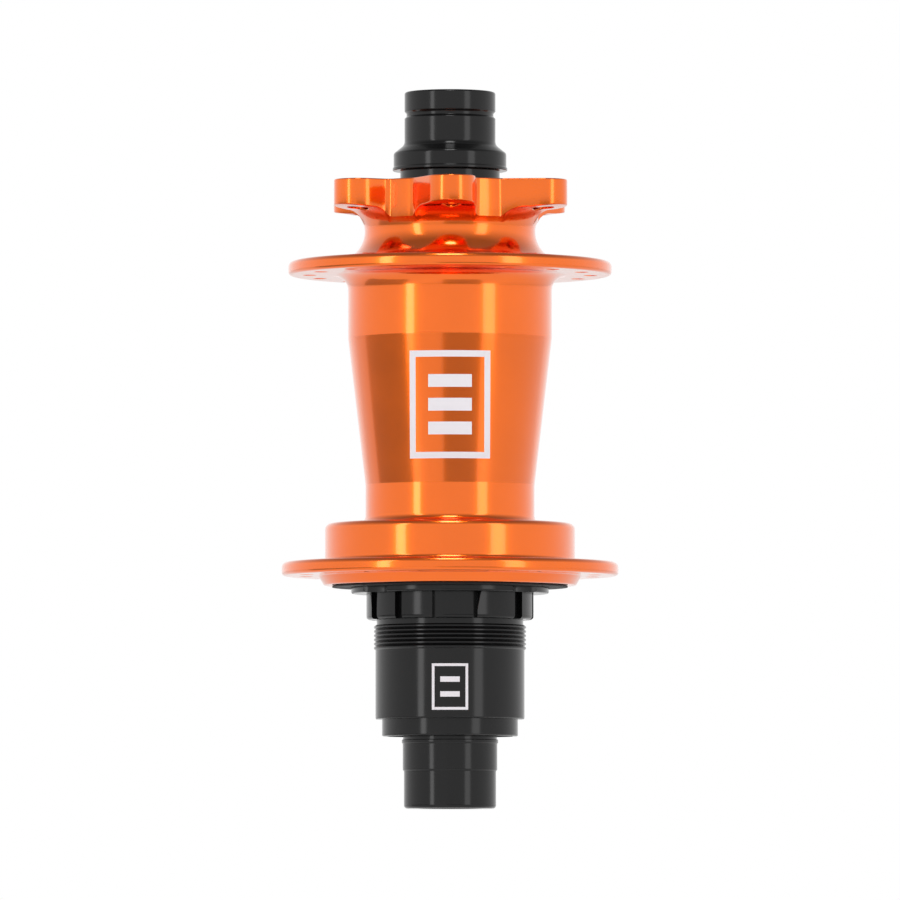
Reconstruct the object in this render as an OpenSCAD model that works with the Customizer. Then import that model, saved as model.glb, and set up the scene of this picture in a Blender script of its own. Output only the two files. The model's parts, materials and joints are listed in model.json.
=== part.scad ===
// Rear bicycle hub for a 12 mm through axle, six-bolt disc brake, splined and threaded
// small-cog driver, six-pawl ratchet freewheel and four sealed ball bearings.
// +Z runs along the axle towards the brake side; the origin is the middle of the axle.
// All sizes are in millimetres. Positions along the axle are measured from the origin.

/* [Overall] */
// Distance between the outer faces of the two end caps
over_end_caps = 148; // [144:0.5:180]
// Diameter of the bore that the through axle slides in
through_bore_d = 12.1; // [10.1:0.1:12.5]
// Outer diameter of the hollow hub axle, and bore of all four bearings
axle_d = 17; // [16:0.1:17.4]
// Inner diameter of the hollow hub axle, which holds the end cap spigots
axle_bore_d = 15; // [14.6:0.1:15.4]

/* [Bearings] */
// Outer diameter of the two bearings in the shell
shell_bearing_od = 30; // [28:0.1:31]
// Width of the two bearings in the shell
shell_bearing_w = 7; // [6:0.1:8]
// Outer diameter of the two bearings in the driver
driver_bearing_od = 26; // [24:0.1:26.4]
// Width of the two bearings in the driver
driver_bearing_w = 5; // [4:0.1:6]
// Clearance between each ball and its grooves
ball_clearance = 0.06; // [0.03:0.01:0.1]

/* [Rotor mount] */
// Distance from the axle's middle to the face that the brake rotor sits on
rotor_face_z = 55.2; // [52:0.1:60]
// Diameter of the circle through the rotor bolts
rotor_pcd = 44; // [42:0.5:48]
// Diameter of each rotor bolt hole, tapped for M5
rotor_hole_d = 4.2; // [4:0.1:5.2]
// Radius of each tab's rounded tip
rotor_tab_r = 4.95; // [4.2:0.05:5.5]
// Thickness of the tabs at their tips
rotor_tab_t = 5.25; // [4:0.05:7]
// Wall of the neck around the brake-side bearing
neck_wall = 2.63; // [2:0.01:4]

/* [Brake flange] */
// Middle of the brake-side spoke flange
brake_flange_z = 37.5; // [34:0.1:40]
// Outer diameter of the brake-side spoke flange
brake_flange_d = 66.8; // [62:0.1:80]
// Diameter of the brake-side circle of spoke holes
brake_spoke_pcd = 58; // [54:0.1:60]

/* [Drive flange] */
// Middle of the drive-side spoke flange, below the origin
drive_flange_depth = 24.6; // [23:0.1:27]
// Outer diameter of the drive-side spoke flange
drive_flange_d = 69.5; // [66:0.1:84]
// Diameter of the drive-side circle of spoke holes
drive_spoke_pcd = 60.4; // [59:0.1:64]

/* [Spokes] */
// Spoke holes in each flange
spoke_holes = 16; // [12:2:18]
// Diameter of each spoke hole
spoke_hole_d = 2.6; // [2.2:0.1:3]
// Thickness of each spoke flange
flange_t = 2.8; // [2.2:0.1:3.4]

/* [Shell body] */
// Diameter of the body under the brake flange
body_d = 42.1; // [40:0.1:46]
// Wall of the waist around the drive-side shell bearing
waist_wall = 2.45; // [2:0.05:4]
// Where the taper starts, above the origin
taper_top_z = 23.1; // [20:0.1:27]
// Where the taper ends, below the origin
taper_end_depth = 7.3; // [5:0.1:8]
// Thickness of the shell wall around the ratchet ring
ratchet_wall = 2.8; // [2:0.1:4]

/* [Ratchet] */
// Teeth inside the drive ring
ratchet_teeth = 115; // [60:1:120]
// Outer diameter of the drive ring
ring_od = 46; // [45:0.5:56]
// Diameter across the crests of the ring's teeth
ring_crest_d = 38.8; // [38.6:0.1:39.2]
// Depth of the ring's teeth
tooth_depth = 0.55; // [0.4:0.05:0.7]
// Length of the drive ring along the axle
ring_w = 9; // [8:0.1:9.4]
// Gap between each tooth crest and a pawl's tip as it rides over
pawl_tip_gap = 0.15; // [0.08:0.01:0.25]

/* [Driver] */
// Diameter of the driver's round flange
driver_flange_d = 40.8; // [39:0.1:44]
// Diameter across the spline lugs
spline_d = 34.5; // [33.5:0.1:36]
// Diameter across the thread's crests
thread_d = 31.4; // [31:0.1:33]
// Pitch of the thread
thread_pitch = 0.86; // [0.75:0.01:1.2]
// Diameter of the plain journal that carries the cogs
journal_d = 30.75; // [30:0.05:31]
// Diameter of the lip at the driver's outer end
driver_lip_d = 28.05; // [27.6:0.05:29]
// Driver's outer end, below the origin
driver_end_depth = 59.1; // [57:0.1:64]

/* [End caps] */
// Diameter of the brake-side nose that sits in the frame
brake_nose_d = 18.8; // [17:0.1:19.4]
// Diameter of the drive-side nose that sits in the frame
drive_nose_d = 19; // [17:0.1:19.4]
// Diameter of the brake-side cap's shoulder
cap_shoulder_d = 23.3; // [21:0.1:27]
// Play between a cap's spigot and the axle
spigot_play = 0.05; // [0.02:0.01:0.15]
// Length of each cap's spigot inside the axle
spigot_length = 11; // [8:0.5:14]

/* [Hidden] */
$fn = 96;

// Colours
orange = [0.93, 0.42, 0.10];
black = [0.13, 0.13, 0.14];
steel = [0.72, 0.73, 0.75];
alloy = [0.80, 0.81, 0.83];
brass = [0.78, 0.62, 0.30];
rubber = [0.08, 0.08, 0.09];
seal_blue = [0.10, 0.22, 0.45];

// How far a cut runs past the face that it opens
past = 1;

// Derived heights along the axle
end_z = over_end_caps / 2;
bearing_recess = 1;
brake_bearing_z = rotor_face_z - bearing_recess - shell_bearing_w / 2;
shell_bearing_z = -11.4;
step_top_z = -15.2;
step_roof = 1.7;
cavity_z = step_top_z - step_roof;
collar_end_z = cavity_z - ring_w - 2.1;
head_gap = 0.3;
head_z = cavity_z - head_gap;
driver_flange_z = collar_end_z - 0.4;
driver_flange_t = 1.3;
driver_end_z = -driver_end_depth;
inboard_bearing_z = head_z - 0.2 - driver_bearing_w / 2;
outboard_bearing_z = driver_end_z + 0.4 + driver_bearing_w / 2;
drive_flange_z = -drive_flange_depth;
taper_end_z = -taper_end_depth;

// Derived radii
neck_r = shell_bearing_od / 2 + neck_wall;
waist_r = shell_bearing_od / 2 + waist_wall;
valley_r = neck_r + 0.57;
step_r = ring_od / 2 + ratchet_wall;
crest_r = ring_crest_d / 2;
head_r = crest_r - 0.4;
seal_land_r = head_r - 0.6;
spigot_r = axle_bore_d / 2 - spigot_play;
shell_seat_edge = 1.1;

// Each bearing is [middle height, outer diameter, width]
brake_bearing = [brake_bearing_z, shell_bearing_od, shell_bearing_w];
shell_bearing = [shell_bearing_z, shell_bearing_od, shell_bearing_w];
inboard_bearing = [inboard_bearing_z, driver_bearing_od, driver_bearing_w];
outboard_bearing = [outboard_bearing_z, driver_bearing_od, driver_bearing_w];

// Parts of a bearing in proportion to the room between its bore and its outside
function bearing_room(b) = (b[1] - axle_d) / 2;
function ball_r(b) = 0.275 * bearing_room(b);
function pitch_r(b) = (b[1] + axle_d) / 4;
function inner_race_r(b) = axle_d / 2 + 0.29 * bearing_room(b);
function outer_race_r(b) = b[1] / 2 - 0.29 * bearing_room(b);
function ball_count(b) = floor(PI * pitch_r(b) / ball_r(b) / 1.45);
function top(b) = b[0] + b[2] / 2;
function bottom(b) = b[0] - b[2] / 2;

// ---- Shapes that repeat ----

// The flat piece between a corner and a circle that touches both of its sides. Added in an
// inside corner it is a fillet; cut from an outside corner it rounds that corner.
module corner(r, z, size, dr, dz) {
    difference() {
        translate([r + (dr < 0 ? -size : 0), z + (dz < 0 ? -size : 0)]) square(size);
        translate([r + dr * size, z + dz * size]) circle(size);
    }
}

// A flat rectangle between two radii and two heights
module band(r0, r1, z0, z1) {
    translate([r0, z0]) square([r1 - r0, z1 - z0]);
}

// A round bar or hole along the axle
module rod(r, z0, z1) {
    translate([0, 0, z0]) cylinder(r = r, h = z1 - z0);
}

// A plain ring along the axle
module tube(r0, r1, z0, z1) {
    difference() {
        rod(r1, z0, z1);
        rod(r0, z0 - past, z1 + past);
    }
}

// Copies of a shape, spaced evenly round the axle
module around(count, phase = 0) {
    for (k = [0 : count - 1]) rotate(phase + 360 * k / count) children();
}

// ---- Hub shell ----

tab_count = 6;
tab_phase = 30.7;
tab_cove_r = 4;
tab_dish = 0.65;
neck_top_z = rotor_face_z - rotor_tab_t - tab_dish - tab_cove_r;
rim_top_round = 1.1;
rim_low_round = 0.7;
spoke_phase = 1.3;
flank_start_angle = -25.4;
flank_end_angle = 19.2;

// Each flank of a tab runs just inside the line that would graze its round tip
flank_inset = 0.03;
flank_reach = rotor_tab_r - flank_inset;
valley_point = valley_r * [cos(flank_start_angle), sin(flank_start_angle)];
to_tip = [rotor_pcd / 2, 0] - valley_point;
tip_turn = atan2(to_tip[1], to_tip[0]) - asin(flank_reach / norm(to_tip));
tip_touch = valley_point + sqrt(norm(to_tip) ^ 2 - flank_reach ^ 2) * [cos(tip_turn), sin(tip_turn)];
far_side_y = flank_reach;
far_fillet = 1.1;

// Plan of the rotor mount: six tabs, each with one straight slanted flank and one square one
module rotor_plan() {
    circle(valley_r);
    around(tab_count, tab_phase) {
        translate([rotor_pcd / 2, 0]) circle(rotor_tab_r);
        polygon([
            [0, 0], valley_point, tip_touch, [rotor_pcd / 2, 0],
            [rotor_pcd / 2, far_side_y], [valley_r * cos(flank_end_angle), far_side_y]
        ]);
        translate([sqrt(valley_r ^ 2 - far_side_y ^ 2), far_side_y]) difference() {
            translate([-far_fillet, -far_fillet]) square([2 * far_fillet, 2 * far_fillet]);
            translate([far_fillet, far_fillet]) circle(far_fillet);
        }
    }
}

// Half section of the rotor mount: flat on top, dished below, with a cove to the neck
module rotor_mount_section() {
    tip_r = rotor_pcd / 2 + rotor_tab_r + past;
    cove_x = neck_r + tab_cove_r;
    difference() {
        polygon([
            [0, neck_top_z], [cove_x, neck_top_z], [cove_x, neck_top_z + tab_cove_r],
            [tip_r, rotor_face_z - rotor_tab_t], [tip_r, rotor_face_z], [0, rotor_face_z]
        ]);
        translate([cove_x, neck_top_z]) circle(tab_cove_r);
    }
}

// Half section of one spoke flange with its rim rounded
module flange_section(z, d) {
    difference() {
        band(0, d / 2, z - flange_t / 2, z + flange_t / 2);
        corner(d / 2, z + flange_t / 2, rim_top_round, -1, -1);
        corner(d / 2, z - flange_t / 2, rim_low_round, -1, 1);
    }
}

// Half section of the shell from the neck down to the collar, before it is hollowed
module shell_section() {
    neck_cove = 6.5;
    body_cove = 3.15;
    waist_cove = 1.6;
    step_round = 1.3;
    brake_top = brake_flange_z + flange_t / 2;
    brake_low = brake_flange_z - flange_t / 2;
    drive_top = drive_flange_z + flange_t / 2;
    drive_low = drive_flange_z - flange_t / 2;
    collar_r = step_r + 0.55;
    band(0, neck_r, brake_top - past, neck_top_z + past);
    corner(neck_r, brake_top, neck_cove, 1, 1);
    flange_section(brake_flange_z, brake_flange_d);
    band(0, body_d / 2, taper_top_z, brake_low + past / 2);
    corner(body_d / 2, brake_low, body_cove, 1, -1);
    polygon([
        [0, taper_top_z], [body_d / 2, taper_top_z], [waist_r, taper_end_z], [0, taper_end_z]
    ]);
    band(0, waist_r, step_top_z, taper_end_z);
    corner(waist_r, step_top_z, waist_cove, 1, 1);
    difference() {
        band(0, step_r, drive_top - past, step_top_z);
        corner(step_r, step_top_z, step_round, -1, -1);
    }
    corner(step_r, drive_top, 1, 1, 1);
    flange_section(drive_flange_z, drive_flange_d);
    difference() {
        polygon([
            [0, drive_low + past], [collar_r + 0.8, drive_low + past], [collar_r + 0.8, drive_low],
            [step_r + 0.2, collar_end_z], [0, collar_end_z]
        ]);
        corner(step_r + 0.2, collar_end_z, 0.5, -1, 1);
    }
}

module hub_shell() {
    cavity_r = shell_bearing_od / 2 - shell_seat_edge;
    color(orange) difference() {
        union() {
            rotate_extrude() shell_section();
            intersection() {
                rotate_extrude() rotor_mount_section();
                translate([0, 0, brake_flange_z]) linear_extrude(rotor_face_z) rotor_plan();
            }
        }
        // Bearing seat at the brake side, then the hollow body, then the drive-side seat
        rod(shell_bearing_od / 2, bottom(brake_bearing), rotor_face_z + past);
        rod(cavity_r, top(shell_bearing) - past, bottom(brake_bearing) + past);
        rod(shell_bearing_od / 2, cavity_z - past, top(shell_bearing));
        // Room for the ratchet ring and the driver's head
        rod(ring_od / 2, collar_end_z - past, cavity_z);
        around(tab_count, tab_phase)
            translate([rotor_pcd / 2, 0, neck_top_z])
                cylinder(d = rotor_hole_d, h = rotor_face_z);
        around(spoke_holes, spoke_phase)
            translate([brake_spoke_pcd / 2, 0, brake_flange_z - flange_t])
                cylinder(d = spoke_hole_d, h = 2 * flange_t);
        around(spoke_holes, spoke_phase + 180 / spoke_holes)
            translate([drive_spoke_pcd / 2, 0, drive_flange_z - flange_t])
                cylinder(d = spoke_hole_d, h = 2 * flange_t);
    }
}

// ---- Ratchet ----

// Each tooth is a ramp that climbs to its root, then a steep wall back to the next crest
ramp_share = 0.9;
tooth_angle = 360 / ratchet_teeth;
root_r = crest_r + tooth_depth;

module drive_ring() {
    color(steel) translate([0, 0, cavity_z - ring_w]) linear_extrude(ring_w) difference() {
        circle(ring_od / 2);
        polygon([
            for (k = [0 : ratchet_teeth - 1]) each [
                crest_r * [cos(k * tooth_angle), sin(k * tooth_angle)],
                root_r * [
                    cos((k + ramp_share) * tooth_angle), sin((k + ramp_share) * tooth_angle)
                ]
            ]
        ]);
    }
}

// A pawl lies along the head from its round heel to its tip, which points the way of drive
pawl_count = 6;
pawl_w = ring_w - 1;
pawl_end_gap = 0.1;
heel_r = 1.5;
heel_play = 0.05;
heel_x = head_r - 2.4;
tip_angle = 22;
tip_r = crest_r - pawl_tip_gap;
tip = tip_r * [cos(tip_angle), sin(tip_angle)];
// The tip's phase puts the first pawl's tip in front of a tooth wall
pawl_phase = 0.86 * tooth_angle - tip_angle % tooth_angle;
pawl_top_z = head_z - 0.5;

module pawl_plan() {
    translate([heel_x, 0]) circle(heel_r);
    polygon([
        [heel_x + 1.05, 1.05], [heel_x + 1.35, 3.6], tip - [0.3, 1.4], tip,
        tip - [1.5, 0.5], [heel_x - 0.55, 5.2], [heel_x - 1.15, 2.2], [heel_x - 1.4, 0.3]
    ]);
}

module pawl(number) {
    color(steel) rotate(pawl_phase + 360 * (number - 1) / pawl_count)
        translate([0, 0, pawl_top_z - pawl_w]) linear_extrude(pawl_w) pawl_plan();
}

// Room for one pawl in the head: a round socket for its heel and a pocket for its arm
pocket_floor_x = heel_x - 1.75;

module pocket_plan() {
    translate([heel_x, 0]) circle(heel_r + heel_play);
    polygon([
        [heel_x + 0.9, 0.5], [head_r + past, 0.5], [head_r + past, 8.4],
        [tip[0] - 1.6, 8.4], [pocket_floor_x, 7], [pocket_floor_x, 0.6], [heel_x - 1.1, 0.4]
    ]);
}

// One bent leaf per pawl: its foot lies on the pocket floor and its end pushes the pawl out
leaf_t = 0.25;
leaf_w = 5;

module leaf_plan() {
    foot = [pocket_floor_x, 6.8];
    bend = [pocket_floor_x, 4.4];
    end = [pocket_floor_x + 0.3, 3.6];
    polygon([
        foot, bend, end + [0, -0.3], end + [leaf_t, -0.2],
        bend + [leaf_t, 0.1], foot + [leaf_t, 0]
    ]);
}

module pawl_springs() {
    color(steel) around(pawl_count, pawl_phase)
        translate([0, 0, pawl_top_z - (pawl_w + leaf_w) / 2]) linear_extrude(leaf_w) leaf_plan();
}

// ---- Driver ----

lug_end_z = driver_flange_z - driver_flange_t - 5.4;
thread_top_z = lug_end_z - 1.1;
thread_turns = 6;
thread_end_z = thread_top_z - thread_turns * thread_pitch;
journal_end_z = driver_end_z + 3.5;
thread_depth = 0.33;
lug_root_r = thread_d / 2 + 0.15;
driver_bore_r = driver_bearing_od / 2 - 0.8;

// Slots between the spline lugs, three groups round the driver: [middle angle, width in degrees]
spline_slots = [[-65, 9], [-38, 6], [-11, 2.5], [17.5, 3.5]];

module driver_section() {
    band(0, head_r, driver_flange_z + 2, head_z);
    band(0, seal_land_r, driver_flange_z - past / 2, driver_flange_z + 2);
    difference() {
        band(0, driver_flange_d / 2, driver_flange_z - driver_flange_t, driver_flange_z);
        corner(driver_flange_d / 2, driver_flange_z - driver_flange_t, 0.4, -1, 1);
    }
    difference() {
        band(0, spline_d / 2, lug_end_z, driver_flange_z - driver_flange_t + past / 2);
        corner(spline_d / 2, lug_end_z, 0.7, -1, 1);
    }
    // Neck between the lugs and the thread, then the thread as a stack of ridges
    band(0, thread_d / 2 - thread_depth - 0.25, thread_top_z, lug_end_z + past / 2);
    for (k = [0 : thread_turns - 1]) {
        low = thread_top_z - (k + 1) * thread_pitch;
        core = thread_d / 2 - thread_depth;
        polygon([
            [0, low], [core, low], [thread_d / 2, low + 0.35 * thread_pitch],
            [thread_d / 2, low + 0.65 * thread_pitch], [core, low + thread_pitch],
            [0, low + thread_pitch]
        ]);
    }
    difference() {
        band(0, journal_d / 2, journal_end_z, thread_end_z);
        corner(journal_d / 2, journal_end_z, 0.3, -1, 1);
    }
    difference() {
        band(0, driver_lip_d / 2, driver_end_z, journal_end_z + past / 2);
        corner(driver_lip_d / 2, driver_end_z, 0.3, -1, 1);
    }
}

module freehub_body() {
    flange_notch_r = 7;
    color(black) difference() {
        rotate_extrude() driver_section();
        // Bearing seats at both ends, and the bore between them
        rod(driver_bearing_od / 2, bottom(inboard_bearing), head_z + past);
        rod(driver_bore_r, top(outboard_bearing) - past, bottom(inboard_bearing) + past);
        rod(driver_bearing_od / 2, driver_end_z - past, top(outboard_bearing));
        // Pawl pockets
        around(pawl_count, pawl_phase)
            translate([0, 0, pawl_top_z - pawl_w - pawl_end_gap])
                linear_extrude(pawl_w + 2 * pawl_end_gap) pocket_plan();
        // Spline slots
        around(3) for (slot = spline_slots)
            rotate(slot[0] - 90) translate([0, 0, lug_end_z - past / 2])
                linear_extrude(driver_flange_z - driver_flange_t - lug_end_z + past / 2)
                    polygon([
                        [lug_root_r, -lug_root_r * tan(slot[1] / 2)],
                        [spline_d / 2 + past, -(spline_d / 2) * tan(slot[1] / 2)],
                        [spline_d / 2 + past, (spline_d / 2) * tan(slot[1] / 2)],
                        [lug_root_r, lug_root_r * tan(slot[1] / 2)]
                    ]);
        // Four tool notches in the flange
        for (turn = [40, 140, 220, 320])
            rotate(turn) translate([driver_flange_d / 2 + flange_notch_r - 1.5, 0,
                driver_flange_z - driver_flange_t - past / 2])
                cylinder(r = flange_notch_r, h = driver_flange_t + past);
    }
}

// Rubber ring that rides on the driver and closes the shell's mouth
module freehub_seal() {
    lip_t = 0.28;
    color(rubber) rotate_extrude() {
        band(seal_land_r, ring_od / 2 - 0.3, driver_flange_z, collar_end_z + 1.6);
        band(seal_land_r, step_r - 1.5, driver_flange_z, driver_flange_z + lip_t);
    }
}

// ---- Axle and what is clamped on it ----

axle_shoulder_r = inner_race_r(shell_bearing) - 0.3;
axle_shoulder_w = 3;
axle_end_gap = 0.3;

module hub_axle() {
    color(alloy) difference() {
        union() {
            rod(axle_d / 2, bottom(outboard_bearing) + axle_end_gap, top(brake_bearing) - axle_end_gap);
            rod(axle_shoulder_r, bottom(brake_bearing) - axle_shoulder_w, bottom(brake_bearing));
            rod(axle_shoulder_r, top(shell_bearing), top(shell_bearing) + axle_shoulder_w);
        }
        rod(axle_bore_d / 2, driver_end_z - past, rotor_face_z + past);
    }
}

module ratchet_spacer() {
    color(alloy) tube(axle_d / 2, inner_race_r(inboard_bearing) - 0.1,
        top(inboard_bearing), bottom(shell_bearing));
}

module driver_spacer() {
    color(alloy) tube(axle_d / 2, inner_race_r(inboard_bearing) - 0.1,
        top(outboard_bearing), bottom(inboard_bearing));
}

// Each cap bears on its inner race just inside the race's rim
cap_race_inset = 0.1;

// O-ring grooves near the ends of the spigots
ring_cord_r = 0.36;
groove_half = 0.5;
groove_floor_r = axle_bore_d / 2 - 2 * ring_cord_r - 0.03;
brake_groove_z = top(brake_bearing) - spigot_length + 2;
drive_groove_z = bottom(outboard_bearing) + spigot_length - 2;

// Half section of the brake-side cap: grooved nose, cove, shoulder with a lip, neck, spigot
module brake_cap_section() {
    nose_r = brake_nose_d / 2;
    shoulder_r = cap_shoulder_d / 2;
    face_z = top(brake_bearing);
    lip_z = face_z + 3.5;
    shoulder_z = lip_z + 3.5;
    nose_z = shoulder_z + 3.1;
    groove_z = nose_z + 5;
    cove = 1.4;
    bore_r = through_bore_d / 2;
    neck_r = inner_race_r(brake_bearing) - cap_race_inset;
    difference() {
        polygon([
            [bore_r, end_z], [nose_r, end_z], [nose_r, nose_z], [nose_r + 0.35, nose_z - 1],
            [shoulder_r, shoulder_z], [shoulder_r, lip_z + 0.8], [shoulder_r + 0.2, lip_z + 0.4],
            [shoulder_r + 0.2, lip_z], [neck_r, lip_z], [neck_r, face_z],
            [spigot_r, face_z], [spigot_r, face_z - spigot_length], [bore_r, face_z - spigot_length]
        ]);
        translate([nose_r + cove / 2, groove_z - 0.05]) circle(cove / 2 + 0.35);
        corner(nose_r, end_z, 0.35, -1, -1);
        polygon([
            [bore_r - past, end_z + past / 2], [bore_r + 1, end_z + past / 2],
            [bore_r + 0.5, end_z], [bore_r, end_z - 0.5], [bore_r - past, end_z - 0.5]
        ]);
        band(groove_floor_r, spigot_r + past, brake_groove_z - groove_half, brake_groove_z + groove_half);
    }
}

module brake_end_cap() {
    color(black) rotate_extrude() brake_cap_section();
}

// Half section of the drive-side cap: stepped nose, neck and spigot
module drive_cap_section() {
    nose_r = drive_nose_d / 2;
    barrel_r = nose_r + 0.25;
    face_z = bottom(outboard_bearing);
    neck_z = face_z - 1.1;
    barrel_z = neck_z - 6.2;
    bore_r = through_bore_d / 2;
    neck_r = inner_race_r(outboard_bearing) - cap_race_inset;
    difference() {
        polygon([
            [bore_r, face_z + spigot_length], [spigot_r, face_z + spigot_length],
            [spigot_r, face_z], [neck_r, face_z], [neck_r, neck_z],
            [barrel_r + 0.2, neck_z], [barrel_r + 0.2, neck_z - 0.6],
            [barrel_r, neck_z - 0.8], [barrel_r, barrel_z], [nose_r, barrel_z - 0.5],
            [nose_r, -end_z], [bore_r, -end_z]
        ]);
        corner(nose_r, -end_z, 0.6, -1, 1);
        polygon([
            [bore_r - past, -end_z - past / 2], [bore_r + 1, -end_z - past / 2],
            [bore_r + 0.5, -end_z], [bore_r, -end_z + 0.5], [bore_r - past, -end_z + 0.5]
        ]);
        band(groove_floor_r, spigot_r + past, drive_groove_z - groove_half, drive_groove_z + groove_half);
    }
}

module drive_end_cap() {
    color(black) rotate_extrude() drive_cap_section();
}

module cap_o_ring(z) {
    color(rubber) rotate_extrude()
        translate([axle_bore_d / 2 - ring_cord_r - 0.015, z]) circle(ring_cord_r);
}

// ---- Ball bearings ----

// The ring of space that the balls run in, shared by both races
module ball_track(b) {
    rotate_extrude() translate([pitch_r(b), b[0]]) circle(ball_r(b) + ball_clearance);
}

module bearing_inner_race(b) {
    color(steel) difference() {
        tube(axle_d / 2, inner_race_r(b), bottom(b), top(b));
        ball_track(b);
    }
}

module bearing_outer_race(b) {
    color(steel) difference() {
        tube(outer_race_r(b), b[1] / 2, bottom(b), top(b));
        ball_track(b);
    }
}

module bearing_balls(b) {
    color(alloy) around(ball_count(b)) translate([pitch_r(b), 0, b[0]]) sphere(ball_r(b));
}

module bearing_cage(b) {
    wall = 0.35 * ball_r(b);
    half_w = ball_r(b) + 0.45;
    color(brass) difference() {
        tube(pitch_r(b) - wall, pitch_r(b) + wall, b[0] - half_w, b[0] + half_w);
        around(ball_count(b)) translate([pitch_r(b), 0, b[0]]) sphere(ball_r(b) + ball_clearance);
    }
}

module bearing_seals(b) {
    seal_t = 0.35;
    inset = 0.12;
    color(seal_blue) {
        tube(inner_race_r(b) + 0.1, outer_race_r(b), top(b) - inset - seal_t, top(b) - inset);
        tube(inner_race_r(b) + 0.1, outer_race_r(b), bottom(b) + inset, bottom(b) + inset + seal_t);
    }
}

// ---- One line per node ----

hub_shell();
drive_ring();
freehub_body();
freehub_seal();
pawl_springs();
pawl(1);  // pawl_1
pawl(2);  // pawl_2
pawl(3);  // pawl_3
pawl(4);  // pawl_4
pawl(5);  // pawl_5
pawl(6);  // pawl_6
hub_axle();
ratchet_spacer();
driver_spacer();
brake_end_cap();
drive_end_cap();
cap_o_ring(brake_groove_z);  // brake_cap_o_ring
cap_o_ring(drive_groove_z);  // drive_cap_o_ring
bearing_inner_race(brake_bearing);  // brake_bearing_inner_race
bearing_outer_race(brake_bearing);  // brake_bearing_outer_race
bearing_balls(brake_bearing);  // brake_bearing_balls
bearing_cage(brake_bearing);  // brake_bearing_cage
bearing_seals(brake_bearing);  // brake_bearing_seals
bearing_inner_race(shell_bearing);  // shell_bearing_inner_race
bearing_outer_race(shell_bearing);  // shell_bearing_outer_race
bearing_balls(shell_bearing);  // shell_bearing_balls
bearing_cage(shell_bearing);  // shell_bearing_cage
bearing_seals(shell_bearing);  // shell_bearing_seals
bearing_inner_race(inboard_bearing);  // inboard_bearing_inner_race
bearing_outer_race(inboard_bearing);  // inboard_bearing_outer_race
bearing_balls(inboard_bearing);  // inboard_bearing_balls
bearing_cage(inboard_bearing);  // inboard_bearing_cage
bearing_seals(inboard_bearing);  // inboard_bearing_seals
bearing_inner_race(outboard_bearing);  // outboard_bearing_inner_race
bearing_outer_race(outboard_bearing);  // outboard_bearing_outer_race
bearing_balls(outboard_bearing);  // outboard_bearing_balls
bearing_cage(outboard_bearing);  // outboard_bearing_cage
bearing_seals(outboard_bearing);  // outboard_bearing_seals
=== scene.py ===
"""Polished looks for a bicycle rear hub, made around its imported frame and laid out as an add-on.

The shell and both end caps are drawn again as smooth turned surfaces with rounded edges. The driver,
the bearings and the ratchet keep their frame meshes and get turned, ground and moulded finishes.
"""

import json
import math

import bmesh
import bpy
import numpy as np
from bpy.props import FloatProperty, FloatVectorProperty, PointerProperty
from bpy.types import Operator, Panel, PropertyGroup
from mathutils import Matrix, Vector


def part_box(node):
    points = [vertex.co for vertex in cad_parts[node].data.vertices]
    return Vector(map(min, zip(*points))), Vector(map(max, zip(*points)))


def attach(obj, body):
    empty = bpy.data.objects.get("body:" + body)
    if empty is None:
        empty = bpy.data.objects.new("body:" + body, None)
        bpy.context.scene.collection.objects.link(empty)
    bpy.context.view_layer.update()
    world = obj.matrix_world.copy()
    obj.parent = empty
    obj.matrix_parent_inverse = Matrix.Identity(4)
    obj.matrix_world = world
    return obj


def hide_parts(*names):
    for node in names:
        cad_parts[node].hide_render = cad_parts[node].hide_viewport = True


bl_info = {
    "name": "Bicycle Rear Hub",
    "version": (1, 0, 0),
    "blender": (4, 5, 0),
    "location": "3D View > Sidebar > Hub",
    "description": "Turned, polished and anodised looks for a rear hub",
    "category": "Mesh",
}

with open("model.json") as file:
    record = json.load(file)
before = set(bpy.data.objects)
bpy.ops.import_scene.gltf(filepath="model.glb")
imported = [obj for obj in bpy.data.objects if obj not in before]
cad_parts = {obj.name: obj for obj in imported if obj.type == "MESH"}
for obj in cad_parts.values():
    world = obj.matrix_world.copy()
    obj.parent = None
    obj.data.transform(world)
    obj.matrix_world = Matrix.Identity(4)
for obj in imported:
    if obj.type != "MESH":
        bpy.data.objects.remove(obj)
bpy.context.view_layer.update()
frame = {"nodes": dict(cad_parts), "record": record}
MM = 0.001

MOUNTS = {mount["name"]: mount for mount in frame["record"]["mounts"]}
ROTOR_BOLTS = MOUNTS["rotor_bolts"]
BRAKE_SPOKES = MOUNTS["brake_spokes"]
DRIVE_SPOKES = MOUNTS["drive_spokes"]
ROTOR_FACE_Z = ROTOR_BOLTS["pos_m"][2]
SHELL_LOW, SHELL_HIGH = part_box("hub_shell")
RING_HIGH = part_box("drive_ring")[1]
BRAKE_BEARING_LOW, BRAKE_BEARING_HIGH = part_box("brake_bearing_outer_race")
WAIST_BEARING_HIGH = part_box("shell_bearing_outer_race")[1]
BRAKE_CAP_LOW, BRAKE_CAP_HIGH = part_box("brake_end_cap")
DRIVE_CAP_LOW, DRIVE_CAP_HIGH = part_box("drive_end_cap")

# Points once round the shell, and their shares for each rotor tab and each spoke hole
COLUMNS = 288
TABS = ROTOR_BOLTS["dims"]["count"]
SPOKES = BRAKE_SPOKES["dims"]["count"]
TAB_COLUMNS = COLUMNS // TABS
SPOKE_COLUMNS = COLUMNS // SPOKES

# Points closer than this become one, and edges sharper than this stay crisp
WELD = 1e-7
CRISP = math.radians(38)
# How far the points that hold an arc's end stand past it, and the one that holds a hole's mouth
SUPPORT = 0.06 * MM
MOUTH_SUPPORT = 0.05 * MM
# Pitch of the thread in the rotor bolt holes
BOLT_PITCH = 0.8 * MM
# How far a flange's flat face stops short of its rim's rounding
RIM_SUPPORT = 0.15 * MM

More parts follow.
